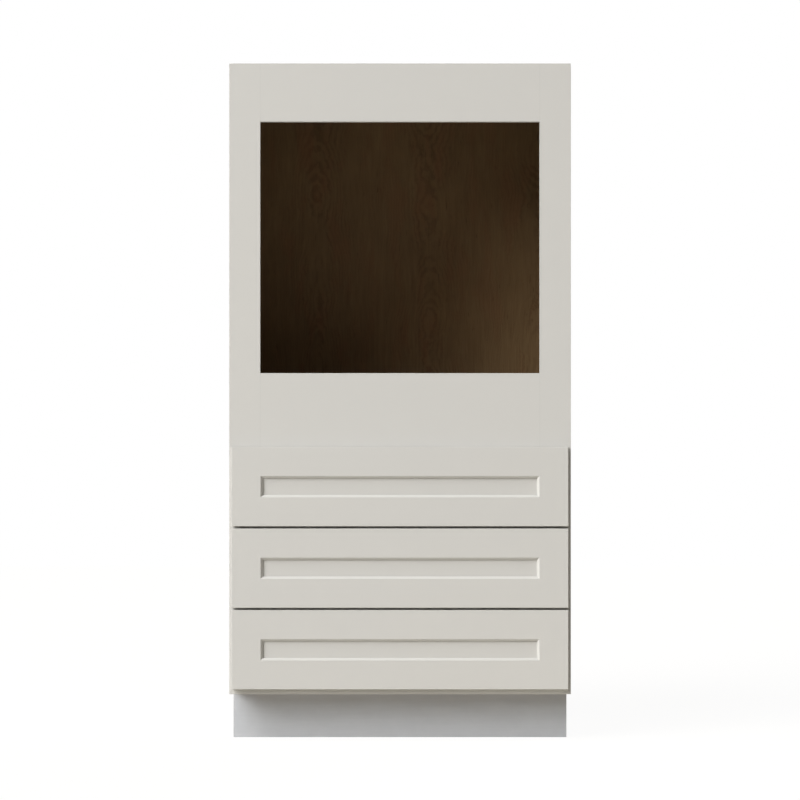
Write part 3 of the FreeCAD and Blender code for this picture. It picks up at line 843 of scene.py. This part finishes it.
def makeStaples(look):
    # crowns of the staples that fix the hanging rails to the back panel
    bar = bmesh.new()
    bmesh.ops.create_cube(bar, size=1.0)
    bmesh.ops.scale(bar, vec=(look["crown"], look["wire"], look["wire"]), verts=bar.verts)
    bmesh.ops.translate(bar, vec=(0.0, 0.0, look["proud"] - look["wire"] / 2.0), verts=bar.verts)
    bmesh.ops.bevel(bar, geom=bar.edges, offset=look["wire"] * look["wireBevel"], offset_type="OFFSET",
                    segments=1, profile=0.5, affect="EDGES", material=-1)
    low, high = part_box("hanging_rails")
    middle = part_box("oven_shelf")[0].z - look["railHeight"] / 2.0
    places = []
    for railLow in (low.z, middle, high.z - look["railHeight"]):
        for row in (railLow + look["rowInset"], railLow + look["railHeight"] - look["rowInset"]):
            for step in range(look["perRow"]):
                share = step / (look["perRow"] - 1)
                across = low.x + look["endInset"] + (high.x - low.x - look["endInset"] * 2.0) * share
                places.append(((across, high.y, row), (0.0, 1.0, 0.0)))
    whole = bmesh.new()
    addCopies(whole, bar, places)
    makePiece("rail_staples", whole, screwSteel, "root", "screw_steel")


makeStaples(stapleSettings)
print("staples made")


studioSettings = {
    "floorSize": 7.0,
    "floorDrop": 0.0006,
    "floorColour": (0.64, 0.605, 0.535),
    "shadowShare": 0.10,  # how much of the floor's own shading the camera sees
    "floorLevel": 0.55,  # how bright the paper floor itself is out of the shadow
    "white": (1.0, 1.0, 1.0),
    "ambient": 0.012,
    "ambientColour": (1.0, 0.90, 0.76),
    "aim": (0.0, 0.0, 0.85),
}

# toward: from the cabinet to the lamp; level: how bright it makes a white wall that faces the camera
lampSettings = {
    "window_low": {"toward": (-1.28, -1.0, 0.59), "level": 0.335, "spread": 26.0, "distance": 20.0},
    "window_high": {"toward": (-1.10, -1.0, 1.55), "level": 0.455, "spread": 42.0, "distance": 30.0},
    "back_fill": {"toward": (0.75, 1.0, 0.45), "level": 0.45, "spread": 40.0, "distance": 20.0},
}


def whiteForSight(flow):
    # 1 where the camera, a gloss or clear plastic looks, else 0
    seen = [flow.node("ShaderNodeLightPath", {}, {}, ray) for ray in
            ("Is Camera Ray", "Is Glossy Ray", "Is Transmission Ray")]
    return clamp(flow, seen[0] + seen[1] + seen[2])


def makeFloor(look):
    shape = bmesh.new()
    bmesh.ops.create_grid(shape, x_segments=6, y_segments=6, size=look["floorSize"])
    bmesh.ops.translate(shape, vec=(0.0, 0.0, -look["floorDrop"]), verts=shape.verts)
    mesh = bpy.data.meshes.new("floor")
    shape.to_mesh(mesh)
    shape.free()
    floor = bpy.data.objects.new("floor", mesh)
    bpy.context.scene.collection.objects.link(floor)
    material, flow = newMaterial("white_floor")
    share = look["shadowShare"]
    glow = (1.0 - share * look["floorLevel"]) / (1.0 - share)  # so that the bare floor ends up white
    paper = flow.node("ShaderNodeBsdfDiffuse", {}, {"Color": asColour(look["floorColour"])})
    light = flow.node("ShaderNodeEmission", {}, {"Color": asColour(look["white"]), "Strength": glow})
    seen = whiteForSight(flow) * (1.0 - share)
    shader = flow.node("ShaderNodeMixShader", {}, {0: seen, 1: paper, 2: light})
    flow.node("ShaderNodeOutputMaterial", {}, {"Surface": shader})
    mesh.materials.append(material)


def makeWorld(look):
    world = bpy.data.worlds.new("studio")
    world.use_nodes = True
    world.node_tree.nodes.clear()
    bpy.context.scene.world = world
    flow = Flow(world.node_tree)
    soft, white = [
        flow.node("ShaderNodeBackground", {}, {"Color": asColour(colour), "Strength": strength})
        for colour, strength in ((look["ambientColour"], look["ambient"]), (look["white"], 1.0))
    ]
    shader = flow.node("ShaderNodeMixShader", {}, {0: whiteForSight(flow), 1: soft, 2: white})
    flow.node("ShaderNodeOutputWorld", {}, {"Surface": shader})


def makeLamp(name, lamp, studio):
    direction = Vector(lamp["toward"]).normalized()
    distance = lamp["distance"]
    data = bpy.data.lights.new(name, "AREA")
    data.shape = "DISK"
    data.size = 2.0 * distance * math.tan(math.radians(lamp["spread"] / 2.0))
    data.energy = lamp["level"] * (math.pi * distance) ** 2 / abs(direction.y)
    placed = bpy.data.objects.new(name, data)
    placed.location = Vector(studio["aim"]) + direction * distance
    placed.rotation_euler = direction.to_track_quat("Z", "Y").to_euler()
    bpy.context.scene.collection.objects.link(placed)


makeFloor(studioSettings)
makeWorld(studioSettings)
for name, lamp in lampSettings.items():
    makeLamp(name, lamp, studioSettings)
bpy.context.scene.view_settings.view_transform = "Standard"
print("studio lit")
